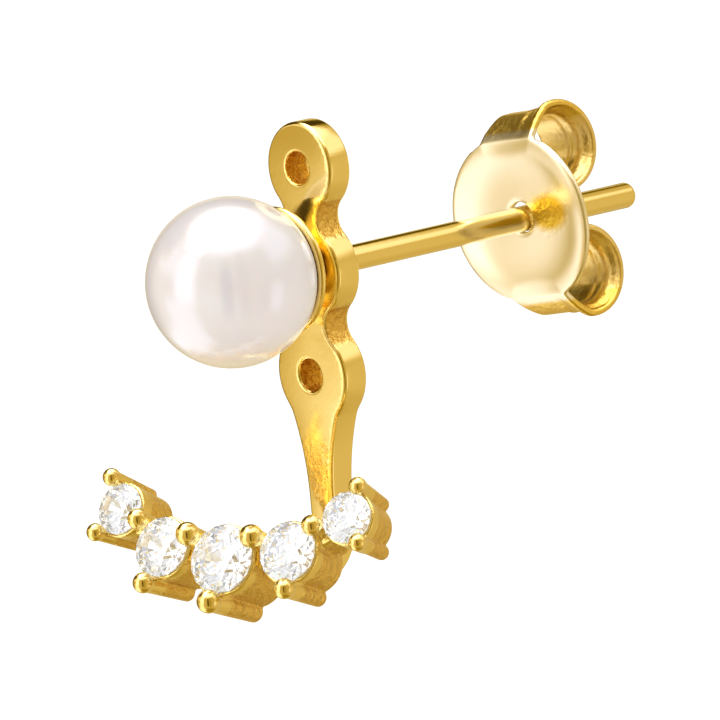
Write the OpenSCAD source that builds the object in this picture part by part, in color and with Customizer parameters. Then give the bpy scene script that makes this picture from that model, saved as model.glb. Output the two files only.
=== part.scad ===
// Ear jacket earring: a pearl stud, a jacket that hangs on its post behind the pearl,
// and a butterfly clutch. The jacket is one casting: a plate with three holes, a stem
// that hooks forward under the earlobe, and a curved row of five claw-set stones.
// Millimetres. The pearl faces -Y, the post runs along +Y and +Z is up. The origin is on
// the post's axis, in the middle of its bare stretch, where the earlobe sits.

/* [Pearl] */
// Diameter of the pearl
pearl_d = 4.9; // [4:0.1:7]
// Height of the pearl's middle above its drilled hole
pearl_rise = 0.1; // [0:0.02:0.2]
// Depth of the blind hole for the peg
pearl_hole_depth = 2.0; // [1.2:0.1:2.4]

/* [Stud] */
// Diameter of the post
post_d = 0.75; // [0.7:0.01:0.9]
// Length of the post, from the back of the cup to the tip
post_l = 13.05; // [12.4:0.05:15]
// Radius of the dome at the post's tip
tip_r = 0.45; // [0.45:0.01:0.6]
// Diameter of the peg inside the pearl
peg_d = 0.7; // [0.5:0.05:0.9]
// Diameter of the dished cup behind the pearl
cup_d = 3.5; // [2.6:0.1:4]
// Wall of the dished cup
cup_wall = 0.22; // [0.18:0.01:0.35]
// Bare post in front of the origin, from the jacket's back
lobe_front = 3.9; // [3.5:0.05:5]

/* [Jacket plate] */
// Thickness of the plate and the stem
plate_t = 0.95; // [0.8:0.05:1.2]
// Diameter of the three post holes
hole_d = 0.95; // [0.9:0.01:1.0]
// Bevel at both mouths of each hole
hole_lip = 0.12; // [0.08:0.01:0.2]
// Distance between neighbouring holes
hole_pitch = 3.0; // [2.7:0.05:3.4]
// Diameter of the round lobes about the middle and the lowest hole
lobe_d = 2.85; // [2.5:0.05:3.2]
// Diameter of the round lobe about the top hole
top_lobe_d = 2.65; // [2.4:0.05:3.2]
// Radius of the hollow curves between the lobes
neck_r = 0.65; // [0.5:0.05:0.8]
// Swing of the plate and stem about the post, the top to the right, in degrees
blade_swing = 1; // [-2:0.5:2]

/* [Jacket stem] */
// Width of the stem
stem_w = 1.0; // [0.8:0.01:1.2]
// Distance below the lowest hole at which the stem reaches its width
flare_l = 3.6; // [3:0.1:4.2]
// Radius of the hollow curve from the lobe into the stem
flare_r = 7.0; // [6:0.1:9]
// Distance below the lowest hole at which the stem starts to bend forward
bend_drop = 4.55; // [4.3:0.05:5]
// Inner radius of the bend
bend_r = 0.45; // [0.35:0.05:0.6]

/* [Stones] */
// Diameter of the middle stone
stone_mid_d = 2.0; // [1.8:0.05:2.1]
// Diameter of the two stones beside it
stone_next_d = 1.75; // [1.6:0.05:1.85]
// Diameter of the two end stones
stone_end_d = 1.5; // [1.4:0.05:1.6]
// Gap between the middle stone and its neighbours
gap_mid = 0.28; // [0.24:0.01:0.34]
// Gap between those and the end stones
gap_end = 0.4; // [0.32:0.01:0.44]
// Slope of the row from the middle stone to its neighbours, in degrees
slope_mid = 8; // [4:0.5:14]
// Slope of the row from those to the end stones, in degrees
slope_end = 32.5; // [26:0.5:38]

/* [Setting] */
// Drop of the middle stone below the middle hole
arc_drop = 7.6; // [7.5:0.02:7.9]
// Distance of the middle stone in front of the plate
arc_forward = 3.95; // [3.8:0.05:4.1]
// Turn of the row about the vertical, in degrees
arc_turn = 15; // [8:1:18]
// Upward tilt of the stones, in degrees
arc_tilt = 25; // [20:1:28]
// Radius of the row's bow, seen from above
arc_bow_r = 36; // [28:1:60]
// Clearance between a stone and its seat
seat_gap = 0.03; // [0.02:0.005:0.05]
// Wall of the cups at the rim
rim_wall = 0.11; // [0.1:0.01:0.16]
// Thickness of the webs that join neighbouring cups
web_t = 0.5; // [0.4:0.05:0.7]

/* [Clutch] */
// Length of post behind the clutch's plate
post_tail = 4.17; // [4:0.01:4.8]
// Width of the clutch's plate
clutch_w = 5.4; // [5.2:0.1:6.2]
// Diameter of the plate's two round sides
clutch_side_d = 5.0; // [4.8:0.1:5.4]
// Distance between the two folds of the plate
fold_h = 4.72; // [4.6:0.02:4.8]
// Thickness of the sheet
sheet_t = 0.25; // [0.2:0.01:0.3]
// Depth of the plate's dish
dish_h = 0.45; // [0.35:0.05:0.5]
// Width of the two straps
strap_w = 2.3; // [2:0.1:3]
// Outer diameter of the two scrolls
scroll_d = 2.7; // [2.5:0.05:2.8]
// Free height between the two scrolls, where the post passes
scroll_gap = 1.0; // [0.95:0.01:1.2]
// Diameter of the dimple about the post hole
dimple_d = 1.8; // [1.6:0.1:2.2]
// Clearance between the post and the clutch's hole
grip_gap = 0.04; // [0.03:0.005:0.06]
// Lean of the clutch on the post, its top forward, in degrees
clutch_lean = 2.5; // [0:0.5:3]
// Turn of the clutch about the post, in degrees
clutch_turn = 9; // [0:1:20]

/* [Hidden] */
$fn = 64;
gold = "goldenrod";
eps = 0.01;

// Clearances and shares of a stone's size
glue_gap = 0.02;          // between the pearl and the cup
play = 0.03;              // between the cup and the jacket
hang_gap = 0.015;         // between the post and the top of the hole that hangs on it
table_share = 0.57;       // table radius to stone radius
crown_share = 0.30;       // crown height to stone radius
girdle_share = 0.08;      // girdle height to stone radius
pavilion_share = 0.86;    // pavilion depth to stone radius
star_share = 0.763;       // radius of the crown's inner corners
lower_share = 0.25;       // radius of the pavilion's inner corners
cup_depth_share = 2.15;   // cup depth to stone radius
cup_back_share = 0.94;    // back radius of the cup to stone radius
cup_bore_share = 0.5;     // open back of the cup to stone radius
claw_share = 0.35;        // radius of a claw's ball to stone radius
claw_rod_share = 0.30;    // radius of a claw's rod to stone radius
claw_lift_share = 0.3;    // height of a claw's ball over the girdle
claw_up_share = 1.25;     // distance of an upper claw from the stone's axis
claw_down_share = 1.31;   // distance of a lower claw from the stone's axis
claw_back_share = 1.05;   // distance of a claw's back end from the stone's axis

// Along the post, from front to back
plate_back = -lobe_front;
plate_front = plate_back - plate_t;
cup_back = plate_front - play;
pearl_y = cup_back - cup_wall - glue_gap - pearl_d / 2;
tip_y = cup_back + post_l;
clutch_y = tip_y - post_tail;

// The jacket hangs on the post by the top of its middle hole
jacket_drop = (hole_d - post_d) / 2 - hang_gap;

// Stem: the bend's centre, and the end of the forward run inside the middle cup
lobe_z = -hole_pitch;
bend_z = lobe_z - bend_drop;
bend_y = plate_front - bend_r;
run_end = plate_front - arc_forward + 0.62 * cup_depth_share * stone_mid_d / 2;

// Row of stones, from left to right as seen from the front
stone_r = [stone_end_d, stone_next_d, stone_mid_d, stone_next_d, stone_end_d] / 2;
step_mid = stone_r[2] + stone_r[1] + gap_mid;
step_end = stone_r[1] + stone_r[0] + gap_end;
next_x = step_mid * cos(slope_mid);
next_h = step_mid * sin(slope_mid);
end_x = next_x + step_end * cos(slope_end);
end_h = next_h + step_end * sin(slope_end);
stone_x = [-end_x, -next_x, 0, next_x, end_x];
stone_h = [end_h, next_h, 0, next_h, end_h];

// Each claw: the stone that it stands beside, its angle there, and its distance share
claws = [
    [2, 30, claw_up_share], [2, 150, claw_up_share], [2, 270, claw_down_share],
    [3, 43, claw_up_share], [3, 282, claw_down_share],
    [1, 137, claw_up_share], [1, 258, claw_down_share],
    [4, 71, claw_up_share], [4, 308, claw_up_share],
    [0, 109, claw_up_share], [0, 232, claw_up_share]];

// Clutch: dish radius, and the path of the strap's middle line in the YZ plane
dish_r = (pow(clutch_w / 2, 2) + pow(dish_h, 2)) / (2 * dish_h);
scroll_r = scroll_d / 2 - sheet_t / 2;
scroll_z = scroll_gap / 2 + scroll_d / 2;
fold_sink = 0.04;         // depth of the strap's root in the clutch's plate
fold_a = 180 - asin((fold_h / 2 - fold_sink - scroll_z) / (scroll_d / 2));
fold_y = sqrt(pow(dish_r, 2) - pow(fold_h / 2, 2)) - dish_r + fold_sink;
scroll_y = fold_y - scroll_d / 2 * cos(fold_a);
strap_path = [for (i = [0:30]) let (a = fold_a - i / 30 * (fold_a + 116))
    [scroll_y + scroll_r * cos(a), scroll_z + scroll_r * sin(a)]];

// Direction of a path at point i, and its two edges, one sheet thickness apart
function heading(p, i) =
    let (a = p[max(i - 1, 0)], b = p[min(i + 1, len(p) - 1)]) (b - a) / norm(b - a);
function edge(p, off) =
    [for (i = [0:len(p) - 1]) let (d = heading(p, i)) p[i] + off * [-d[1], d[0]]];
function reversed(p) = [for (i = [len(p) - 1:-1:0]) p[i]];

// n points on a circle of radius r at height z, the first at angle a0
function ring(n, r, z, a0) =
    [for (k = [0:n - 1]) [r * cos(a0 + 360 * k / n), r * sin(a0 + 360 * k / n), z]];

// Turns what is drawn upwards to run back along the post from y
module along_post(y) {
    translate([0, y, 0]) rotate([-90, 0, 0]) children();
}

// The row's own frame: X along the row, Y up the row and Z out of the stones' tables
module in_row() {
    translate([0, plate_front - arc_forward, -arc_drop - jacket_drop])
        rotate([90 - arc_tilt, 0, arc_turn]) children();
}

// A stone's own frame, with its girdle at height zero
module at_stone(i) {
    x = stone_x[i];
    in_row() translate([x, stone_h[i], sqrt(pow(arc_bow_r, 2) - x * x) - arc_bow_r])
        rotate([0, asin(x / arc_bow_r), 0]) children();
}

module pearl() {
    color("ivory") difference() {
        translate([0, pearl_y, pearl_rise]) sphere(d = pearl_d);
        along_post(pearl_y + pearl_d / 2 - pearl_hole_depth)
            cylinder(d = peg_d + 2 * glue_gap, h = pearl_hole_depth + eps);
    }
}

module stud_post() {
    peg_l = pearl_hole_depth + glue_gap + cup_wall / 2 - 0.1;
    color(gold) {
        difference() {
            union() {
                stud_cup();
                along_post(cup_back - cup_wall / 2 - peg_l) cylinder(d = peg_d, h = peg_l);
                along_post(cup_back - cup_wall / 2) cylinder(d = post_d, h = post_l + cup_wall / 2);
            }
            difference() {
                along_post(tip_y - tip_r) cylinder(d = 2 * post_d, h = 2 * tip_r);
                translate([0, tip_y - tip_r, 0]) sphere(r = tip_r);
            }
        }
    }
}

// Dished cup that hugs the back of the pearl
module stud_cup() {
    inner_r = pearl_d / 2 + glue_gap;
    intersection() {
        translate([0, pearl_y, pearl_rise]) difference() {
            sphere(r = inner_r + cup_wall);
            sphere(r = inner_r);
        }
        along_post(pearl_y) cylinder(d = cup_d, h = pearl_d);
    }
}

// Neck below the lobe at height z, with a hollow curve on each side that runs into the
// lobes of radius a above and b below
module neck(z, a, b) {
    drop = (pow(a + neck_r, 2) - pow(b + neck_r, 2) + pow(hole_pitch, 2)) / (2 * hole_pitch);
    out = sqrt(pow(a + neck_r, 2) - pow(drop, 2));
    translate([0, z]) difference() {
        polygon([[0, 0], [out, -drop], [0, -hole_pitch], [-out, -drop]]);
        for (side = [-1, 1]) translate([side * out, -drop]) circle(r = neck_r);
    }
}

// Outline of the plate and stem from the front
module blade_outline() {
    bottom = bend_z - 2 * (bend_r + plate_t);
    for (k = [-1:0]) translate([0, k * hole_pitch]) circle(d = lobe_d);
    translate([0, hole_pitch]) circle(d = top_lobe_d);
    neck(hole_pitch, top_lobe_d / 2, lobe_d / 2);
    neck(0, lobe_d / 2, lobe_d / 2);
    translate([-stem_w / 2, bottom]) square([stem_w, lobe_z - bottom]);
    difference() {
        translate([-lobe_d / 2, lobe_z - flare_l]) square([lobe_d, flare_l - 0.3 * lobe_d]);
        for (side = [-1, 1]) translate([side * (stem_w / 2 + flare_r), lobe_z - flare_l])
            circle(r = flare_r, $fn = 180);
    }
}

// Section of the plate, the bend and the forward run, in the YZ plane
module blade_section() {
    outer_r = bend_r + plate_t;
    translate([plate_front, bend_z]) square([plate_t, hole_pitch + lobe_d - bend_z]);
    translate([bend_y, bend_z]) intersection() {
        difference() {
            circle(r = outer_r);
            circle(r = bend_r);
        }
        translate([0, -outer_r]) square(outer_r);
    }
    translate([run_end, bend_z - outer_r]) square([bend_y - run_end, plate_t]);
}

// Place of the plate as it hangs on the post
module hung() {
    translate([0, 0, -jacket_drop]) rotate([0, blade_swing, 0]) children();
}

module blade() {
    hung() intersection() {
        rotate([90, 0, 0]) linear_extrude(height = 40, center = true) blade_outline();
        rotate([90, 0, 90]) linear_extrude(height = 20, center = true) blade_section();
    }
}

// Hole for a post, bevelled at both mouths
module post_hole() {
    along_post(plate_front - eps) cylinder(d = hole_d, h = plate_t + 2 * eps);
    along_post(plate_front - eps)
        cylinder(d1 = hole_d + 2 * (hole_lip + eps), d2 = hole_d, h = hole_lip + eps);
    along_post(plate_back - hole_lip)
        cylinder(d1 = hole_d, d2 = hole_d + 2 * (hole_lip + eps), h = hole_lip + eps);
}

// Tapered cup behind a stone
module cup(i) {
    r = stone_r[i];
    depth = cup_depth_share * r;
    at_stone(i) translate([0, 0, -depth])
        cylinder(r1 = cup_back_share * r, r2 = r + seat_gap + rim_wall, h = depth);
}

// Web between the cups of stones i and i + 1
module web(i) {
    a = [stone_x[i], stone_h[i]];
    d = [stone_x[i + 1], stone_h[i + 1]] - a;
    depth = cup_depth_share * min(stone_r[i], stone_r[i + 1]);
    in_row() translate([a[0], a[1], -0.85 * depth]) rotate([0, 0, atan2(d[1], d[0])])
        translate([0, -web_t / 2, 0]) cube([norm(d), web_t, 0.6 * depth]);
}

// Claw: a leaning rod beside the cup, with a ball that holds the stone's edge
module claw(i, angle, share) {
    r = stone_r[i];
    depth = cup_depth_share * r;
    lift = claw_lift_share * r;
    lean = atan2((share - claw_back_share) * r, depth + lift);
    at_stone(i) rotate([0, 0, angle]) translate([share * r, 0, lift]) {
        sphere(r = claw_share * r);
        rotate([0, 180 + lean, 0]) cylinder(r = claw_rod_share * r, h = (depth + lift) / cos(lean));
    }
}

// Room for a stone: its outline turned round, one clearance larger, open above the rim
module seat(i) {
    r = stone_r[i];
    g = seat_gap;
    half = girdle_share * r / 2;
    crown = half + crown_share * r;
    at_stone(i) {
        rotate_extrude() polygon([
            [0, -half - pavilion_share * r - g], [r + g, -half - g], [r + g, half + g],
            [table_share * r + g, crown + g], [table_share * r + g, crown + r], [0, crown + r]]);
        translate([0, 0, -3 * r]) cylinder(r = cup_bore_share * r, h = 3 * r - half);
    }
}

module jacket() {
    color(gold) difference() {
        union() {
            blade();
            for (i = [0:4]) cup(i);
            for (i = [0:3]) web(i);
            for (c = claws) claw(c[0], c[1], c[2]);
        }
        hung() for (k = [-1:1]) translate([0, 0, k * hole_pitch]) post_hole();
        for (i = [0:4]) seat(i);
    }
}

// Round brilliant: table, eight stars, eight kites, girdle facets and a pointed pavilion
module brilliant(r) {
    half = girdle_share * r / 2;
    crown = crown_share * r;
    pavilion = pavilion_share * r;
    kite = cos(22.5);
    star_z = half + crown * (1 - star_share * kite) / (1 - table_share);
    lower_z = -half - pavilion * (1 - lower_share * kite);
    points = concat(
        ring(8, table_share * r, half + crown, 0), ring(8, star_share * r, star_z, 22.5),
        ring(16, r, half, 0), ring(16, r, -half, 0),
        ring(8, lower_share * r, lower_z, 22.5), [[0, 0, -half - pavilion]]);
    // First point of each ring
    star = 8;
    top = 16;
    bottom = 32;
    lower = 48;
    culet = 56;
    faces = concat(
        [[for (k = [7:-1:0]) k]],
        [for (k = [0:7]) [(k + 1) % 8, star + k, k]],
        [for (k = [0:7]) [k, star + k, top + 2 * k, star + (k + 7) % 8]],
        [for (k = [0:7]) [star + k, top + 2 * k + 1, top + 2 * k]],
        [for (k = [0:7]) [star + k, top + (2 * k + 2) % 16, top + 2 * k + 1]],
        [for (k = [0:15]) [top + k, top + (k + 1) % 16, bottom + (k + 1) % 16, bottom + k]],
        [for (k = [0:7]) [bottom + 2 * k, bottom + 2 * k + 1, lower + k]],
        [for (k = [0:7]) [bottom + 2 * k + 1, bottom + (2 * k + 2) % 16, lower + k]],
        [for (k = [0:7]) [lower + (k + 7) % 8, bottom + 2 * k, lower + k, culet]]);
    polyhedron(points, faces);
}

module stone(i) {
    color("azure") at_stone(i) brilliant(stone_r[i]);
}

// Both scrolls and the dished plate of the clutch are one bent sheet
module clutch() {
    bore = post_d + 2 * grip_gap;
    color("khaki") translate([0, clutch_y, 0]) difference() {
        rotate([clutch_lean, -clutch_turn, 0]) {
            clutch_plate();
            for (side = [0, 1]) mirror([0, 0, side]) strap();
        }
        along_post(-clutch_w) cylinder(d = bore, h = 2 * clutch_w);
    }
}

module clutch_plate() {
    dimple_h = dimple_d / 2 - post_d / 2 - grip_gap - sheet_t;
    difference() {
        union() {
            intersection() {
                translate([0, -dish_r, 0]) difference() {
                    sphere(r = dish_r + sheet_t, $fn = 180);
                    sphere(r = dish_r, $fn = 180);
                }
                along_post(-1) linear_extrude(height = 2) clutch_outline();
            }
            along_post(sheet_t / 2)
                cylinder(d1 = dimple_d, d2 = post_d + 2 * (grip_gap + sheet_t), h = dimple_h);
        }
        along_post(-eps) cylinder(d1 = dimple_d - sheet_t, d2 = post_d + 4 * grip_gap,
            h = sheet_t / 2 + dimple_h);
    }
}

// Round sides with the top and bottom cut straight at the folds
module clutch_outline() {
    side_x = (clutch_w - clutch_side_d) / 2;
    intersection() {
        union() {
            for (side = [-1, 1]) translate([side * side_x, 0]) circle(d = clutch_side_d);
            square([2 * side_x, clutch_side_d], center = true);
        }
        square([clutch_w + 1, fold_h], center = true);
    }
}

module strap() {
    rotate([90, 0, 90]) linear_extrude(height = strap_w, center = true)
        polygon(concat(edge(strap_path, sheet_t / 2), reversed(edge(strap_path, -sheet_t / 2))));
}

pearl();
stud_post();
jacket();
stone(0);  // stone_1
stone(1);  // stone_2
stone(2);  // stone_3
stone(3);  // stone_4
stone(4);  // stone_5
clutch();
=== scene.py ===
"""Ear jacket earring: pearl stud, pierced plate with a hooked stem, a row of claw-set
stones, and a butterfly clutch. Lengths are in millimetres until a mesh is stored."""
import math

import bmesh
import bpy
from mathutils import Matrix, Vector


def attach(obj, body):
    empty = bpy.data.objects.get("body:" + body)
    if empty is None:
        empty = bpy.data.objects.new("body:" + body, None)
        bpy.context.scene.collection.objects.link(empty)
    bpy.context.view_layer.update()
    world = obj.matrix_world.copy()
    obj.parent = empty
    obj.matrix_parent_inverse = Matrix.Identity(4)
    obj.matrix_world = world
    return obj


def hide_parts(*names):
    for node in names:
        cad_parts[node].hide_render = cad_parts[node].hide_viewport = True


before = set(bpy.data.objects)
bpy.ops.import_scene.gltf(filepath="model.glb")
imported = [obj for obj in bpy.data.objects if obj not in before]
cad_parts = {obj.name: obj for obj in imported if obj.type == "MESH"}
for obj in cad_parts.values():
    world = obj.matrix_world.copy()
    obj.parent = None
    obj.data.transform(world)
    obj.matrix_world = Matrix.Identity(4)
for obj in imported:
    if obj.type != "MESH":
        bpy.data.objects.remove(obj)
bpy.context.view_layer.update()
MM = 0.001
ALONG_POST = Matrix.Rotation(math.radians(-90), 4, "X")
# Edges of the stud and the plate stay sharp from this angle on, in degrees
SHARP = 40.0

# The stud: pearl, dished cup and post
CUP_BACK = -4.88
CUP_GAP = 0.02
CUP_WALL = 0.22
CUP_RIM_R = 1.75
PEARL_R = 2.45
PEARL_Y = CUP_BACK - CUP_WALL - CUP_GAP - PEARL_R
PEARL_RISE = 0.1
POST_LENGTH = 13.05
POST_R = 0.375
TIP_Y = CUP_BACK + POST_LENGTH

# The jacket's plate: three lobes with a hole each, and a stem that bends forward
PLATE_FRONT = -4.85
PLATE_BACK = -3.90
BEVEL = 0.11
CROWN = 0.05
PITCH = 3.0
TOP_R = 1.325
LOBE_R = 1.425
NECK_R = 0.65
HOLE_R = 0.475
HOLES = [(PITCH, HOLE_R - 0.025), (0.0, HOLE_R), (-PITCH, HOLE_R - 0.015)]
NOTCHES = (1.57, -1.5)
STEM_HALF = 0.5
FLARE_Z = -6.6
FLARE_R = 7.0
BEND_Z = -7.55
BEND_R = 0.45
BEND_RUN = 1.3
SWING = math.radians(1.0)
DROP = 0.085

# The row of stones from left to right: radii, and places on a plane that leans back
STONE_R = [0.75, 0.875, 1.0, 0.875, 0.75]
NEXT_STEP = 2.155
NEXT_RISE = math.radians(8)
END_STEP = 2.025
END_RISE = math.radians(32.5)
NEXT_X = NEXT_STEP * math.cos(NEXT_RISE)
NEXT_H = NEXT_STEP * math.sin(NEXT_RISE)
END_X = NEXT_X + END_STEP * math.cos(END_RISE)
END_H = NEXT_H + END_STEP * math.sin(END_RISE)
STONE_X = [-END_X, -NEXT_X, 0.0, NEXT_X, END_X]
STONE_H = [END_H, NEXT_H, 0.0, NEXT_H, END_H]
BOW_R = 36.0
ROW_OUT = 3.95
ROW_Z = -7.6
ROW_TURN = math.radians(15)
ROW_LEAN = math.radians(65)
ROW = (Matrix.Translation((0, PLATE_FRONT - ROW_OUT, ROW_Z - DROP))
       @ Matrix.Rotation(ROW_TURN, 4, "Z") @ Matrix.Rotation(ROW_LEAN, 4, "X"))

# Cups and claws, in radii of their stone
GIRDLE_HALF = 0.04
PAVILION = 0.86
CUP_DEPTH = 2.15
CUP_BORE = 0.5
CUP_FOOT = 0.94
WEB_INSET = 0.8
CLAW_FOOT = 1.05
CLAW_LIFT = 0.3
CLAW_BALL = 0.35
CLAW_ROD = 0.30
# Each claw: the stone that it stands beside, its angle there and its distance in radii
CLAWS = [(2, 30, 1.25), (2, 150, 1.25), (2, 270, 1.31), (3, 43, 1.25), (3, 282, 1.31),
         (1, 137, 1.25), (1, 258, 1.31), (4, 71, 1.25), (4, 308, 1.25),
         (0, 109, 1.25), (0, 232, 1.25)]

# The clutch, upright round its own axis: a dished plate between two folds, and two straps
CLUTCH_Y = 4.0
CLUTCH_TURN = math.radians(-9)
CLUTCH_LEAN = math.radians(2.5)
CLUTCH = (Matrix.Translation((0, CLUTCH_Y, 0))
          @ Matrix.Rotation(CLUTCH_TURN, 4, "Y") @ Matrix.Rotation(CLUTCH_LEAN, 4, "X"))
SHEET = 0.24
SIDE_R = 2.5
SIDE_SHIFT = 0.26
FOLD_Z = 2.36
DISH_HALF = 2.7
DISH_DEPTH = 0.45
DISH_R = (DISH_HALF ** 2 + DISH_DEPTH ** 2) / (2 * DISH_DEPTH)
FLAT_R = 2.3
FLAT_DEPTH = 0.24
EDGE = 0.62
ROLL = 0.20
ROLL_LOSS = 0.14
RING_R = 0.56
RING_RISE = 0.05
RING_END_Z = 2.18
STRAP = 0.21
STRAP_Z = FOLD_Z - 0.06
STRAP_HALF = 1.02
STRAP_SHIFT = 0.02
STRAP_SLIM = 0.26
CAP_Z = 1.85
CAP_SHIFT = 0.2
CAP_INSET = 0.02
SCROLL_R = 1.35
SCROLL_LOW = 0.5
SCROLL_Z = SCROLL_LOW + SCROLL_R
SCROLL_STEP = 0.22
SCROLL_RIDGE = 0.05

# The studio: the floor and the middle of its painted soft shadow, the point that the
# softboxes face, the light where no screen stands and on matt surfaces, and the lights' colours
FLOOR_Z = -34
SHADOW_SPOT = Vector((20, 15, FLOOR_Z))
AIM = Vector((0, -2, -3))
BARE_LEVEL = 0.55
MATT_LEVEL = 0.62
WARM = (1.0, 0.77, 0.12, 1)
WHITE = (1, 1, 1, 1)
COOL = (0.95, 1.40, 2.40, 1)
# Screens, each over the ones before it: the turn and rise of its middle, half its width
# and height, all in degrees, and its brightness
SCREENS = [
    (0, 90, 360, 40, 1.90), (0, -90, 360, 32, 0.34),
    (-68, -4, 28, 30, 0.50), (-50, 24, 26, 14, 0.92), (-32, -28, 24, 18, 1.05),
    (-58, -50, 44, 18, 1.15), (-18, 14, 15, 27, 1.60),
    (42, -2, 8, 36, 0.06), (66, 0, 9, 46, 0.36), (100, 0, 26, 46, 0.52),
    (138, -10, 28, 26, 0.62), (112, -16, 9, 16, 0.95), (142, 38, 30, 16, 1.00),
    (-100, 0, 20, 26, 0.16), (-138, 0, 20, 11, 0.62), (-108, 34, 46, 14, 0.06)]


def ramp(value, start, end):
    """Goes from 0 at the start to 1 at the end, which may lie below the start."""
    return min(max((value - start) / (end - start), 0.0), 1.0)


def arc(cx, cz, r, a0, a1, n):
    """Points on an arc, angles in degrees."""
    out = []
    for k in range(n + 1):
        a = math.radians(a0 + (a1 - a0) * k / n)
        out.append((cx + r * math.cos(a), cz + r * math.sin(a)))
    return out


def lathe(bm, profile, segments, matrix):
    """Turns a profile of (radius, height) round Z. A profile off the axis is closed."""
    rings = []
    for r, z in profile:
        if r < 1e-6:
            rings.append([bm.verts.new(matrix @ Vector((0, 0, z)))])
            continue
        ring = []
        for k in range(segments):
            a = 2 * math.pi * k / segments
            ring.append(bm.verts.new(matrix @ Vector((r * math.cos(a), r * math.sin(a), z))))
        rings.append(ring)
    pairs = list(zip(rings, rings[1:]))
    if len(rings[0]) > 1 and len(rings[-1]) > 1:
        pairs.append((rings[-1], rings[0]))
    for a, b in pairs:
        for k in range(segments):
            n = (k + 1) % segments
            if len(a) == 1:
                bm.faces.new((a[0], b[n], b[k]))
            elif len(b) == 1:
                bm.faces.new((a[k], a[n], b[0]))
            else:
                bm.faces.new((a[k], a[n], b[n], b[k]))


def to_object(name, bm):
    """Puts a mesh into the scene as a new object."""
    mesh = bpy.data.meshes.new(name)
    bm.to_mesh(mesh)
    bm.free()
    obj = bpy.data.objects.new(name, mesh)
    bpy.context.scene.collection.objects.link(obj)
    return obj


def store(name, bm, body, material, sharp=None):
    """Stores a millimetre mesh as a smooth object in metres that rides on a body."""
    bmesh.ops.recalc_face_normals(bm, faces=bm.faces)
    bmesh.ops.scale(bm, vec=(MM, MM, MM), verts=bm.verts)
    obj = to_object(name, bm)
    obj.data.materials.append(material)
    obj.data.shade_smooth()
    if sharp:
        obj.data.set_sharp_from_angle(angle=math.radians(sharp))
    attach(obj, body)
    return obj


def frozen(obj):
    """Final mesh of a helper object, which leaves the scene."""
    bpy.context.view_layer.update()
    graph = bpy.context.evaluated_depsgraph_get()
    mesh = bpy.data.meshes.new_from_object(obj.evaluated_get(graph))
    bpy.data.objects.remove(obj)
    bm = bmesh.new()
    bm.from_mesh(mesh)
    bpy.data.meshes.remove(mesh)
    return bm


def melted(bm, voxel, rounds):
    """One closed skin over overlapping solids, with softened joins, as a casting has."""
    obj = to_object("melt_temp", bm)
    overlapping = obj.data
    remesh = obj.modifiers.new("remesh", "REMESH")
    remesh.mode = "VOXEL"
    remesh.voxel_size = voxel
    soft = obj.modifiers.new("soft", "SMOOTH")
    soft.factor = 0.5
    soft.iterations = rounds
    skin = frozen(obj)
    bpy.data.meshes.remove(overlapping)
    return skin


def mark_grain_and_shade(obj, rule):
    """Writes how grainy the casting is at each point, from 0 to 1; above 0.6 the same value also
    darkens the colour with painted shade.
    """
    layer = obj.data.attributes.new("grain_and_shade", "FLOAT", "POINT")
    layer.data.foreach_set("value", [rule(v.co / MM) for v in obj.data.vertices])


class Nodes:
    """Short way to build a node tree. An input takes a value or another node's output."""

    def __init__(self, tree):
        self.tree = tree

    def feed(self, node, inputs):
        for key, value in inputs.items():
            if isinstance(value, bpy.types.NodeSocket):
                self.tree.links.new(value, node.inputs[key])
            else:
                node.inputs[key].default_value = value

    def add(self, kind, inputs=None, **settings):
        node = self.tree.nodes.new(kind)
        for key, value in settings.items():
            setattr(node, key, value)
        self.feed(node, inputs or {})
        return node

    def math(self, operation, *values, **settings):
        inputs = dict(enumerate(values))
        return self.add("ShaderNodeMath", inputs, operation=operation, **settings).outputs[0]

    def mix(self, kind, factor, a, b):
        inputs = {"Factor": factor, "A": a, "B": b}
        return self.add("ShaderNodeMix", inputs, data_type=kind).outputs["Result"]

    def map_range(self, value, start, end, low=0.0, high=1.0, kind="LINEAR"):
        inputs = {"Value": value, "From Min": start, "From Max": end, "To Min": low,
                  "To Max": high}
        return self.add("ShaderNodeMapRange", inputs, interpolation_type=kind).outputs["Result"]

    def noise(self, place, scale, detail, distortion=0.0):
        inputs = {"Vector": place, "Scale": scale, "Detail": detail, "Distortion": distortion}
        return self.add("ShaderNodeTexNoise", inputs).outputs["Fac"]


def new_material(name):
    mat = bpy.data.materials.new(name)
    mat.use_nodes = True
    tree = mat.node_tree
    return mat, Nodes(tree), tree.nodes["Principled BSDF"]


def gold_material(name, color, deep, painted_shade, rough, matte, grain):
    """Plated metal: slight colour drift, faint waviness, and casting grain where marked, with
    painted shade darkening the colour where the mark is high.
    """
    mat, n, shader = new_material(name)
    place = n.add("ShaderNodeTexCoord").outputs["Object"]
    grain_and_shade = n.add("ShaderNodeAttribute", attribute_name="grain_and_shade").outputs["Fac"]
    plated = n.mix("RGBA", n.noise(place, 260.0, 3.0), (*deep, 1), (*color, 1))
    wave = n.add("ShaderNodeBump", {
        "Strength": 0.25, "Distance": 0.00002, "Height": n.noise(place, 900.0, 2.0)})
    grainy = n.add("ShaderNodeBump", {
        "Strength": n.map_range(grain_and_shade, 0.3, 1.0, 0.02, grain), "Distance": 0.00011,
        "Height": n.noise(place, 5200.0, 4.0), "Normal": wave.outputs["Normal"]})
    n.feed(shader, {
        "Metallic": 1.0,
        # Painted shade: from a mark of 0.6 up, the colour is mixed towards the painted shade
        # colour
        "Base Color": n.mix("RGBA", n.map_range(grain_and_shade, 0.6, 1.0, 0.0, 0.9), plated, (*painted_shade, 1)),
        "Roughness": n.math("MULTIPLY_ADD", grain_and_shade, matte, rough),
        "Normal": grainy.outputs["Normal"]})
    return mat


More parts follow.
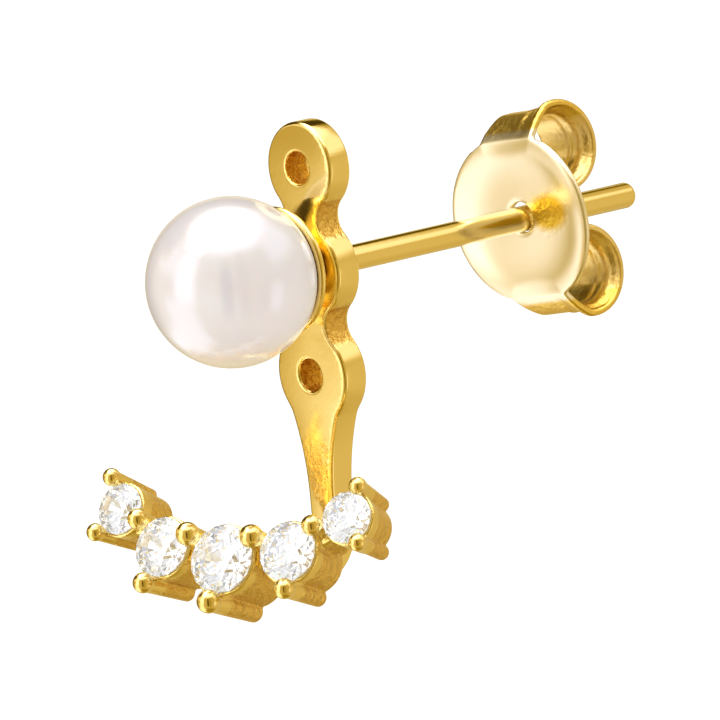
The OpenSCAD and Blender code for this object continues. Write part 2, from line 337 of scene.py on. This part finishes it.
def pearl_material():
    """Nacre: faintly clouded rose white, with a painted peach reflection of the gold below,
    under a hard clear coat.
    """
    mat, n, shader = new_material("pearl_nacre")
    place = n.add("ShaderNodeTexCoord").outputs["Object"]
    clouds = n.add("ShaderNodeValToRGB", {"Fac": n.noise(place, 420.0, 3.0, 0.6)})
    ends = ((0.3, (0.90, 0.815, 0.81, 1)), (0.7, (0.96, 0.89, 0.885, 1)))
    for element, (position, color) in zip(clouds.color_ramp.elements, ends):
        element.position = position
        element.color = color
    height = n.add("ShaderNodeSeparateXYZ", {0: place}).outputs["Z"]
    # Painted reflection of the gold below the pearl: the colour turns peach towards the bottom
    low = n.map_range(height, -0.0011, -0.0023, 0.0, 0.60, "SMOOTHSTEP")
    n.feed(shader, {
        "Base Color": n.mix("RGBA", low, clouds.outputs["Color"], (1.0, 0.78, 0.52, 1)),
        "Roughness": 0.32,
        "IOR": 1.55,
        "Subsurface Weight": 0.35,
        "Subsurface Radius": (0.0010, 0.0008, 0.0007),
        "Subsurface Scale": 1.0,
        "Coat Weight": 0.9,
        "Coat Roughness": 0.11,
        "Coat IOR": 2.2,
        "Sheen Weight": 0.2,
        "Sheen Tint": (1.0, 0.86, 0.88, 1)})
    return mat


def stone_material():
    """Clear brilliant with a faint painted glow of its own, which lifts its dark facets."""
    mat, n, shader = new_material("clear_stone")
    n.feed(shader, {
        "Base Color": (1.0, 1.0, 1.0, 1),
        "Roughness": 0.0,
        "IOR": 2.15,
        "Emission Color": (0.93, 0.94, 1.0, 1),
        "Emission Strength": 0.06,
        "Transmission Weight": 1.0})
    return mat


# The third colour of each gold is painted shade, mixed in where the grain mark is high
GOLD = gold_material("gold_polished", (1.0, 0.765, 0.32), (0.975, 0.71, 0.25),
                     (0.76, 0.37, 0.02), 0.12, 0.24, 1.5)
PALE = gold_material("gold_pale", (1.0, 0.87, 0.66), (0.98, 0.82, 0.56),
                     (0.86, 0.54, 0.02), 0.30, 0.0, 0.28)
PEARL = pearl_material()
STONE = stone_material()


def make_pearl():
    bm = bmesh.new()
    bmesh.ops.create_uvsphere(bm, u_segments=128, v_segments=64, radius=PEARL_R)
    bmesh.ops.translate(bm, verts=bm.verts, vec=(0, PEARL_Y, PEARL_RISE))
    obj = store("pearl_ball", bm, "stud", PEARL)
    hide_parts("pearl")


def post_profile():
    """The post from its rounded tip to its foot inside the cup's wall."""
    tip_r, tip_h, shoulder = 0.36, 0.20, 0.03
    foot = CUP_BACK - 0.05
    profile = [(0.0, TIP_Y)]
    for degrees in range(8, 81, 8):
        a = math.radians(degrees)
        profile.append((tip_r * math.sin(a), TIP_Y - tip_h + tip_h * math.cos(a)))
    return profile + [(POST_R, TIP_Y - tip_h - shoulder), (POST_R, foot), (0.0, foot)]


def cup_profile():
    """The dished cup from its back over a round rim to its hollow, which holds the pearl."""
    inner = PEARL_R + CUP_GAP
    outer = inner + CUP_WALL
    rim_in = math.degrees(math.asin(CUP_RIM_R / inner))
    rim_out = math.degrees(math.asin(CUP_RIM_R / outer))
    mid = (inner + outer) / 2
    mid_a = math.radians((rim_in + rim_out) / 2)
    rim_x, rim_y = mid * math.sin(mid_a), PEARL_Y + mid * math.cos(mid_a)
    across = 90 - math.degrees(mid_a)
    short = 1.5
    profile = arc(0, PEARL_Y, outer, 90, 90 - rim_out + short, 24)
    profile += arc(rim_x, rim_y, CUP_WALL / 2, across - 20, across - 160, 7)
    profile += arc(0, PEARL_Y, inner, 90 - rim_in + short, 90, 20)
    return profile


def make_stud():
    bm = bmesh.new()
    lathe(bm, post_profile(), 64, ALONG_POST)
    lathe(bm, cup_profile(), 96, Matrix.Translation((0, 0, PEARL_RISE)) @ ALONG_POST)
    obj = store("stud_cup_and_post", bm, "stud", GOLD, SHARP)
    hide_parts("stud_post")


def soft_max(a, b, k):
    """The larger of two values, blended where they differ by less than k."""
    h = max(k - abs(a - b), 0.0) / k
    return max(a, b) + h * h * k / 4


def stem_half(z):
    """Half the width of the lowest lobe and the stem at height z."""
    d = LOBE_R ** 2 - (z + PITCH) ** 2
    lobe = math.sqrt(d) if d > 0 else 0.0
    stem = STEM_HALF
    if z > FLARE_Z:
        stem += FLARE_R - math.sqrt(FLARE_R ** 2 - (z - FLARE_Z) ** 2)
    return soft_max(lobe, stem, 0.10)


def right_side():
    """Right side of the plate's outline, from the top down to the lowest lobe's middle."""
    pts = []
    start = 90.0
    for z, a, b in ((PITCH, TOP_R, LOBE_R), (0.0, LOBE_R, LOBE_R)):
        drop = ((a + NECK_R) ** 2 - (b + NECK_R) ** 2 + PITCH ** 2) / (2 * PITCH)
        out = math.sqrt((a + NECK_R) ** 2 - drop ** 2)
        leave = -math.degrees(math.atan2(drop, out))
        reach = math.degrees(math.atan2(PITCH - drop, out))
        pts += arc(0, z, a, start, leave, 30)
        pts += arc(out, z - drop, NECK_R, 180 + leave, 180 + reach, 12)[1:-1]
        start = reach
    pts += arc(0, -PITCH, LOBE_R, start, -20, 16)
    return pts


PLATE_SIDE = right_side()


def half_width(z):
    """Half the width of the plate at height z, read off its outline."""
    if z > -PITCH - 1.0:
        for (x0, z0), (x1, z1) in zip(PLATE_SIDE, PLATE_SIDE[1:]):
            if z1 <= z <= z0 and z0 > z1:
                return x0 + (x1 - x0) * (z0 - z) / (z0 - z1)
    return stem_half(z)


def crown(x, z):
    """How far the softly crowned and bowed front face falls back at a point."""
    bow = 0.003 * (z + PITCH / 2) ** 2
    if z > PITCH:
        return CROWN * (x * x + (z - PITCH) ** 2) / TOP_R + bow
    return CROWN * x * x / half_width(z) + bow


def filled(loops, thick):
    """Slab over an outline and its holes, with rounded edges, flat in X and Y."""
    curve = bpy.data.curves.new("blade", "CURVE")
    curve.dimensions = "2D"
    curve.fill_mode = "BOTH"
    for pts in loops:
        spline = curve.splines.new("POLY")
        spline.points.add(len(pts) - 1)
        for p, (x, y) in zip(spline.points, pts):
            p.co = (x, y, 0, 1)
        spline.use_cyclic_u = True
    curve.extrude = thick / 2 - BEVEL
    curve.bevel_depth = BEVEL
    curve.bevel_resolution = 4
    curve.offset = -BEVEL
    temp = bpy.data.objects.new("blade_temp", curve)
    bpy.context.scene.collection.objects.link(temp)
    bm = frozen(temp)
    bpy.data.curves.remove(curve)
    bmesh.ops.remove_doubles(bm, verts=bm.verts, dist=0.0005)
    return bm


def cut(bm, place, normal):
    """Adds edges along a plane, so that the mesh can bend there."""
    bmesh.ops.bisect_plane(bm, geom=bm.verts[:] + bm.edges[:] + bm.faces[:], dist=0.0005,
                           plane_co=place, plane_no=normal)


def blade_mesh():
    """Plate and stem as a filled outline with rounded edges, bent forward at the bottom."""
    outline_step, row_step, column_step = 0.05, 0.09, 0.1
    back_share = 0.3
    thick = PLATE_BACK - PLATE_FRONT
    bend_mid = BEND_R + thick / 2
    z_end = BEND_Z - bend_mid * math.pi / 2 - BEND_RUN
    right = list(PLATE_SIDE)
    z = right[-1][1]
    while z > z_end:
        z -= outline_step
        right.append((stem_half(z), z))
    outline = right + [(-x, z) for x, z in reversed(right[1:])]
    bm = filled([outline] + [arc(0, zc, r, 0, 354, 59) for zc, r in HOLES], thick)
    # The rounding of the holes is narrower on the back
    for v in bm.verts:
        for zc, r in HOLES:
            away = math.hypot(v.co.x, v.co.y - zc)
            if v.co.z < 0.01 - thick / 2 + BEVEL and away < r + BEVEL + 0.02:
                k = (r + (away - r) * back_share) / away
                v.co.x *= k
                v.co.y = zc + (v.co.y - zc) * k
    z = PITCH + TOP_R - 0.1
    while z > z_end:
        cut(bm, (0, z, 0), (0, 1, 0))
        z -= row_step
    for k in range(-13, 14):
        cut(bm, (column_step * k + 0.013, 0, 0), (1, 0, 0))
    for v in bm.verts:
        if v.co.z > thick / 2 - BEVEL - 0.001:
            v.co.z -= crown(v.co.x, v.co.y)
    bend_y = PLATE_FRONT - BEND_R
    for v in bm.verts:
        x, up, out = v.co
        y = (PLATE_FRONT + PLATE_BACK) / 2 - out
        if up < BEND_Z:
            s = BEND_Z - up
            r = y - bend_y
            a = min(s / bend_mid, math.pi / 2)
            rest = max(s - bend_mid * math.pi / 2, 0.0)
            v.co = (x, bend_y + r * math.cos(a) - rest, BEND_Z - r * math.sin(a))
        else:
            v.co = (x, y, up)
    bmesh.ops.rotate(bm, verts=bm.verts, cent=(0, 0, 0), matrix=Matrix.Rotation(SWING, 3, "Y"))
    bmesh.ops.translate(bm, verts=bm.verts, vec=(0, 0, -DROP))
    return bm


def stone_frame(i):
    """Place of a stone: its girdle lies in X and Y, and its table faces +Z."""
    x = STONE_X[i]
    return (ROW @ Matrix.Translation((x, STONE_H[i], math.sqrt(BOW_R ** 2 - x * x) - BOW_R))
            @ Matrix.Rotation(math.asin(x / BOW_R), 4, "Y"))


def add_cup(bm, i):
    """Cup under a stone, with a cone for the stone and a bore through the foot."""
    r = STONE_R[i]
    depth = CUP_DEPTH * r
    bore = CUP_BORE * r
    drop, reach, play = 0.06, 0.02, 0.03
    rim_round, bore_round, foot_round = 0.04, 0.06, 0.08
    rim_z = -GIRDLE_HALF * r - drop
    lip = r - drop / PAVILION + play
    bore_z = -GIRDLE_HALF * r - PAVILION * (r - bore)
    profile = arc(r + reach, rim_z - rim_round, rim_round, 0, 90, 4)
    profile += [(lip, rim_z), (bore, bore_z), (bore, -depth + bore_round)]
    profile += arc(bore + bore_round, -depth + bore_round, bore_round, 180, 270, 3)
    profile += arc(CUP_FOOT * r - foot_round, -depth + foot_round, foot_round, 270, 360, 4)
    lathe(bm, profile, 96, stone_frame(i))


def add_web(bm, i):
    """Bar between the lower halves of two neighbouring cups."""
    a = Vector((STONE_X[i], STONE_H[i]))
    b = Vector((STONE_X[i + 1], STONE_H[i + 1]))
    d = b - a
    depth = CUP_DEPTH * min(STONE_R[i], STONE_R[i + 1])
    wide, tall, low = 0.5, 0.6 * depth, -0.85 * depth
    m = ROW @ Matrix.Translation((a.x, a.y, low)) @ Matrix.Rotation(math.atan2(d.y, d.x), 4, "Z")
    start, end = WEB_INSET * STONE_R[i], d.length - WEB_INSET * STONE_R[i + 1]
    box = bmesh.ops.create_cube(bm, size=1.0)
    for v in box["verts"]:
        x = start if v.co.x < 0 else end
        v.co = m @ Vector((x, v.co.y * wide, (v.co.z + 0.5) * tall))


def add_claw(bm, i, angle, share):
    """Claw beside a cup: a rod that leans out from its foot to a ball over the girdle."""
    r = STONE_R[i]
    lift, ball, rod = CLAW_LIFT * r, CLAW_BALL * r, CLAW_ROD * r
    height = CUP_DEPTH * r + lift
    lean = math.atan2((share - CLAW_FOOT) * r, height)
    length = height / math.cos(lean)
    m = (stone_frame(i) @ Matrix.Rotation(math.radians(angle), 4, "Z")
         @ Matrix.Translation((share * r, 0, lift)) @ Matrix.Rotation(math.pi + lean, 4, "Y"))
    join = math.asin(rod / ball)
    foot_round = 0.05
    profile = [(0.0, -ball)]
    for degrees in range(6, int(180 - math.degrees(join)), 6):
        a = math.radians(degrees)
        profile.append((ball * math.sin(a), -ball * math.cos(a)))
    profile += [(rod, ball * math.cos(join) + 0.01), (rod, length - 0.06)]
    profile += arc(rod - foot_round, length - foot_round, foot_round, 0, 90, 4)
    profile += [(0.0, length)]
    lathe(bm, profile, 48, m)


def blade_grain_and_shade(p):
    """Grain inside the notches and holes and on the stem's lower front; the holes and notches
    also get painted shade.
    """
    q = Matrix.Rotation(-SWING, 3, "Y") @ Vector((p.x, p.y, p.z + DROP))
    if PLATE_FRONT + 0.08 < p.y < PLATE_BACK - 0.08:
        if min(math.hypot(q.x, q.z - zc) for zc, _ in HOLES) < HOLE_R + 0.05:
            return 1.0
        near = min(abs(q.z - zc) for zc in NOTCHES)
        return 0.84 * ramp(near, 0.72, 0.47)
    if p.y < PLATE_FRONT + 0.2:
        return 0.40 * ramp(q.z, -3.9, -5.1)
    return 0.0


def setting_grain_and_shade(p):
    """Grain on the cups and webs, with painted shade on the cups' lower parts and the webs; the
    claws' tips and the rims are only a little dull.
    """
    dull, grainy = 0.25, 0.50
    grain = dull
    for i, r in enumerate(STONE_R):
        q = stone_frame(i).inverted() @ p
        if math.hypot(q.x, q.y) < 1.6 * r:
            grain = max(grain, dull + grainy * ramp(q.z, -0.25, -0.55))
    for i, angle, share in CLAWS:
        r = STONE_R[i]
        q = stone_frame(i).inverted() @ p
        a = math.radians(angle)
        tip = Vector((share * r * math.cos(a), share * r * math.sin(a), CLAW_LIFT * r))
        if (q - tip).length < 0.6 * r:
            return dull
    return grain


def make_jacket():
    blade = store("jacket_plate_and_stem", blade_mesh(), "jacket", GOLD, SHARP)
    mark_grain_and_shade(blade, blade_grain_and_shade)
    bm = bmesh.new()
    for i in range(5):
        add_cup(bm, i)
    for i in range(4):
        add_web(bm, i)
    for i, angle, share in CLAWS:
        add_claw(bm, i, angle, share)
    bmesh.ops.recalc_face_normals(bm, faces=bm.faces)
    setting = store("jacket_setting", melted(bm, 0.035, 2), "jacket", GOLD)
    mark_grain_and_shade(setting, setting_grain_and_shade)
    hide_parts("jacket")
    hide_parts("jacket")


def plate_reach(a):
    """Distance from the post to the plate's outline in direction a: a round side or a fold."""
    c, s = abs(math.cos(a)), abs(math.sin(a))
    side = SIDE_SHIFT * c + math.sqrt(SIDE_R ** 2 - (SIDE_SHIFT * s) ** 2)
    fold = FOLD_Z / s if s > 1e-6 else 99.0
    return min(side, fold)


def bowl(rho):
    """Y of the plain dish at a distance from the post."""
    return math.sqrt(DISH_R ** 2 - rho ** 2) - DISH_R


def dish(x, z):
    """Y of the clutch's front surface: dished, flatter in the middle and rolled back at
    its edge, less so on the left."""
    rho = math.hypot(x, z)
    flat = max(1.0 - (rho / FLAT_R) ** 2, 0.0)
    edge = min(max((rho - plate_reach(math.atan2(z, x)) + EDGE) / EDGE, 0.0), 1.2)
    roll = ROLL - ROLL_LOSS * (min(x, 0.0) / max(rho, 0.1)) ** 2
    return bowl(rho) - FLAT_DEPTH * flat * flat + roll * edge * edge


def section(points, normals, thick):
    """Points round one section of a sheet: its front, a round end, its back and the other
    round end."""
    back = [p - m * thick for p, m in zip(points, normals)]
    first = (points[0] - points[1]).normalized()
    last = (points[-1] - points[-2]).normalized()
    ends = []
    for k, away in ((-1, last), (0, first)):
        middle = (points[k] + back[k]) / 2
        half = (points[k] - back[k]) / 2
        turn = [math.radians(a) for a in (30, 60, 90, 120, 150)]
        ends.append([middle + half * math.cos(a) + away * (thick / 2 * math.sin(a))
                     for a in turn])
    return [*points, *ends[0], *back[::-1], *ends[1][::-1]]


def sheet_solid(bm, grid, thick, closed):
    """Closed solid behind a grid of points on its front, with round free edges. Seen from
    the front, the lines of the grid run to the right and follow one another upwards, or they
    run to the left and downwards. A closed grid runs clockwise, from the inside out."""
    rows, cols = len(grid), len(grid[0])
    normals = []
    for i in range(rows):
        line = []
        for j in range(cols):
            up = grid[min(i + 1, rows - 1)][j] - grid[max(i - 1, 0)][j]
            if closed:
                along = grid[i][(j + 1) % cols] - grid[i][(j - 1) % cols]
            else:
                along = grid[i][min(j + 1, cols - 1)] - grid[i][max(j - 1, 0)]
            line.append(along.cross(up).normalized())
        normals.append(line)
    if closed:
        grid, normals = list(zip(*grid)), list(zip(*normals))
    rings = [[bm.verts.new(p) for p in section(line, line_normals, thick)]
             for line, line_normals in zip(grid, normals)]
    size = len(rings[0])
    for a, b in zip(rings, rings[1:] + (rings[:1] if closed else [])):
        for k in range(size):
            m = (k + 1) % size
            bm.faces.new((a[k], a[m], b[m], b[k]))
    if not closed:
        bm.faces.new(rings[0])
        bm.faces.new(rings[-1][::-1])


def plate_grid():
    """Front of the clutch's plate round its hole, up to the folds."""
    around, out = 144, 30
    grid = []
    for i in range(out + 1):
        f = i / out
        line = []
        for j in range(around):
            a = -2 * math.pi * j / around
            reach = min(plate_reach(a), RING_END_Z / max(abs(math.sin(a)), 0.01))
            rho = RING_R + (reach - SHEET / 2 - RING_R) * f
            x, z = rho * math.cos(a), rho * math.sin(a) + RING_RISE * (1 - f) ** 4
            line.append(Vector((x, dish(x, z), z)))
        grid.append(line)
    return grid


def strap_path():
    """Outer line of the upper strap in Y and Z: it leaves the plate's surface, rolls back
    and curls into the scroll. The scroll's part comes as its centre and an angle."""
    fold_steps, scroll_steps, curl = 24, 64, 116
    back = 0.04
    fold_a = 180 - math.degrees(math.asin((FOLD_Z - back - SCROLL_Z) / SCROLL_R))
    scroll_y = bowl(FOLD_Z) + back - SCROLL_R * math.cos(math.radians(fold_a))
    join = 98.0
    join_cos, join_sin = math.cos(math.radians(join)), math.sin(math.radians(join))
    a = Vector((dish(0, STRAP_Z), STRAP_Z))
    d = Vector((scroll_y + SCROLL_R * join_cos, SCROLL_Z + SCROLL_R * join_sin))
    leave, arrive = 0.22, 0.35
    b = a + Vector((0.36, 0.93)) * leave
    c = d - Vector((join_sin, -join_cos)) * arrive
    out = []
    for k in range(fold_steps):
        f = k / fold_steps
        g = 1 - f
        out.append((a * g ** 3 + b * 3 * g * g * f + c * 3 * g * f * f + d * f ** 3, None))
    for k in range(scroll_steps + 1):
        t = math.radians(join - (join + curl) * k / scroll_steps)
        out.append((Vector((scroll_y, SCROLL_Z)), t))
    return out


def strap_grid(path, side):
    """Outer face of a strap, above for side 1 or below for side -1. It starts as a cap on
    the plate, then follows the path with a raised rim, a ridge and a step beside them."""
    cap_lines, across, blend_lines = 14, 26, 16
    ridge_at, ridge_width = 0.30, 0.10
    spread = [2 * j / across - 1 for j in range(across + 1)]
    grid = []
    for i in range(cap_lines):
        z = CAP_Z + (STRAP_Z - CAP_Z) * i / cap_lines
        half = CAP_SHIFT + math.sqrt(SIDE_R ** 2 - z * z) - STRAP / 2 - CAP_INSET
        grid.append([Vector((half * v, dish(half * v, z), side * z)) for v in spread])
    for i, (point, t) in enumerate(path):
        f = i / (len(path) - 1)
        slim = STRAP_SLIM * min(max(f - 0.10, 0.0) * 2.8, 1.0) ** 0.8
        grow = ramp(i, 1, 25)
        line = []
        for v in spread:
            x = STRAP_SHIFT + STRAP_HALF * v + slim * (1 - v) / 2
            e = ramp(v, 0.60, 0.96)
            rim = e * e * (3 - 2 * e)
            ridge = SCROLL_RIDGE * math.exp(-((v - ridge_at) / ridge_width) ** 2)
            inset = grow * (SCROLL_STEP * (1 - rim) - ridge)
            y, z = point
            if t is None:
                y += max(1 - i / blend_lines, 0.0) * (dish(x, STRAP_Z) - dish(0, STRAP_Z))
                z -= inset
            else:
                y += (SCROLL_R - inset) * math.cos(t)
                z += (SCROLL_R - inset) * math.sin(t)
            line.append(Vector((x, y, side * z)))
        grid.append(line)
    if side < 0:
        grid = [line[::-1] for line in grid]
    return grid


def clutch_grain_and_shade(p):
    """Grain with a painted reflection of the post beside the post's hole, scoring with painted
    shade on the straps, and painted shade inside the loops behind the plate.
    """
    q = CLUTCH.inverted() @ p
    near = math.hypot((q.x - 1.2) / 1.45, q.z - 0.1)
    grain = ramp(near, 1.0, 0.4)
    strap = ramp(abs(q.z), 2.28, 2.58)
    inside = ramp(q.y, 0.15, 0.45)
    return max(grain * (1 - inside), 0.95 * strap, 0.86 * inside)


def make_clutch():
    bm = bmesh.new()
    sheet_solid(bm, plate_grid(), SHEET, True)
    path = strap_path()
    for side in (1, -1):
        sheet_solid(bm, strap_grid(path, side), STRAP, False)
    bmesh.ops.recalc_face_normals(bm, faces=bm.faces)
    bm = melted(bm, 0.04, 5)
    bmesh.ops.transform(bm, matrix=CLUTCH, verts=bm.verts)
    obj = store("clutch_sheet", bm, "clutch", PALE)
    mark_grain_and_shade(obj, clutch_grain_and_shade)
    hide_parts("clutch")


def dress_stones():
    """The five stones of the part stay as they are, in a clear material."""
    for k in range(1, 6):
        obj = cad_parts["stone_%d" % k]
        obj.data.materials.clear()
        obj.data.materials.append(STONE)
        obj.data.shade_flat()


def make_camera():
    """Camera that stands where the photo's stood, far off, so with little perspective."""
    az, el, roll = math.radians(48), math.radians(9.8), math.radians(4.6)
    px_per_mm, distance, window = 17.55, 400.0, 360.0
    shift_x, shift_y = 1.766, -2.553
    right = Vector((math.cos(az), math.sin(az), 0))
    view = Vector((math.sin(az) * math.cos(el), -math.cos(az) * math.cos(el), math.sin(el)))
    up = view.cross(right)
    cam_x = math.cos(roll) * right - math.sin(roll) * up
    cam_y = math.sin(roll) * right + math.cos(roll) * up
    aim = shift_x * cam_x + shift_y * cam_y + Vector((0, -5, 0))
    data = bpy.data.cameras.new("camera")
    data.sensor_fit = "HORIZONTAL"
    data.angle = 2 * math.atan(window / px_per_mm / 2 / distance)
    data.clip_start = 0.01
    data.clip_end = 20.0
    cam = bpy.data.objects.new("camera", data)
    bpy.context.scene.collection.objects.link(cam)
    basis = Matrix((cam_x, cam_y, view)).transposed().to_4x4()
    cam.matrix_world = Matrix.Translation((aim + distance * view) * MM) @ basis
    bpy.context.scene.camera = cam


def add_softbox(name, turn, rise, distance, width, height, radiance):
    """Lamp that faces the object: turned from the front towards +X, then raised, in degrees."""
    data = bpy.data.lights.new(name, "AREA")
    data.shape = "RECTANGLE"
    data.size, data.size_y = width * MM, height * MM
    data.energy = radiance * math.pi * width * height * MM * MM
    obj = bpy.data.objects.new(name, data)
    bpy.context.scene.collection.objects.link(obj)
    t, e = math.radians(turn), math.radians(rise)
    place = Vector((math.sin(t) * math.cos(e), -math.cos(t) * math.cos(e),
                    math.sin(e))) * distance
    obj.location = (place + AIM) * MM
    obj.rotation_euler = (-place).to_track_quat("-Z", "Y").to_euler()


def within(n, angle, middle, half):
    """Mask that is one near the middle angle and fades to zero at half the width."""
    soft = min(0.5 * half, 11)
    off = n.math("ABSOLUTE", n.math("SUBTRACT", angle, math.radians(middle)))
    return n.map_range(off, math.radians(half + soft), math.radians(half - soft),
                       kind="SMOOTHSTEP")


def make_world():
    """Studio with dark screens that show in reflections, and an even fill for the rest."""
    world = bpy.data.worlds.new("studio")
    bpy.context.scene.world = world
    world.use_nodes = True
    world.cycles.sampling_method = "NONE"
    n = Nodes(world.node_tree)
    ray = n.add("ShaderNodeSeparateXYZ", {0: n.add("ShaderNodeTexCoord").outputs["Generated"]})
    front = n.math("MULTIPLY", ray.outputs["Y"], -1.0)
    turn = n.math("ARCTAN2", ray.outputs["X"], front)
    rise = n.math("ARCSINE", ray.outputs["Z"])
    level = BARE_LEVEL
    for t, r, wide, tall, value in SCREENS:
        mask = n.math("MULTIPLY", within(n, turn, t, wide), within(n, rise, r, tall))
        level = n.mix("FLOAT", mask, level, value)
    path = n.add("ShaderNodeLightPath").outputs
    glossy, through = path["Is Glossy Ray"], path["Is Transmission Ray"]
    # Metal mirrors the screens, the stones see them with less contrast, and matt surfaces
    # get one even level
    mirrored = n.mix("FLOAT", glossy, MATT_LEVEL, level)
    seen = n.math("MULTIPLY_ADD", level, 0.46, 0.31)
    strength = n.mix("FLOAT", through, mirrored, seen)
    # Dark screens are warm in mirrors, and white for everything else
    bright = n.map_range(level, 0.30, 0.98)
    bright = n.math("MAXIMUM", bright, n.math("SUBTRACT", 1.0, glossy))
    bright = n.math("MAXIMUM", bright, through)
    hue = n.mix("RGBA", bright, WARM, WHITE)
    # Light that has met two mirrors or more is cooler, so that gold in gold isn't orange.
    # The background counts the ray that reaches it, so the first mirror has a depth of 2
    late = n.map_range(path["Ray Depth"], 2.0, 5.0)
    deep = n.math("SUBTRACT", n.math("MULTIPLY", late, glossy), through, use_clamp=True)
    color = n.mix("RGBA", deep, hue, COOL)
    n.feed(world.node_tree.nodes["Background"], {"Strength": strength, "Color": color})


def make_floor():
    """Pale glowing floor, with a painted soft shadow under the object."""
    mat, n, shader = new_material("floor_pale")
    place = n.add("ShaderNodeNewGeometry").outputs["Position"]
    reach = n.add("ShaderNodeVectorMath", {0: place, 1: SHADOW_SPOT * MM}, operation="DISTANCE")
    n.feed(shader, {
        "Base Color": (0.30, 0.30, 0.30, 1),
        "Roughness": 0.9,
        "Specular IOR Level": 0.1,
        "Emission Color": WHITE,
        # Painted soft shadow: the floor glows less near the spot under the object
        "Emission Strength": n.map_range(reach.outputs["Value"], 0.010, 0.070, 0.40, 0.68,
                                         "SMOOTHSTEP")})
    bm = bmesh.new()
    bmesh.ops.create_grid(bm, x_segments=1, y_segments=1, size=3.0)
    bmesh.ops.translate(bm, verts=bm.verts, vec=(0, 0, FLOOR_Z * MM))
    floor = to_object("floor", bm)
    floor.data.materials.append(mat)
    floor.visible_glossy = False


def make_stage():
    make_floor()
    make_world()
    add_softbox("top_softbox", -117, 72, 220, 170, 120, 1.7)
    add_softbox("front_softbox", -22, 56, 220, 120, 110, 1.6)
    settings = bpy.context.scene.view_settings
    settings.view_transform = "Standard"
    settings.look = "Medium High Contrast"


make_camera()
make_stage()
make_pearl()
make_stud()
make_jacket()
make_clutch()
dress_stones()
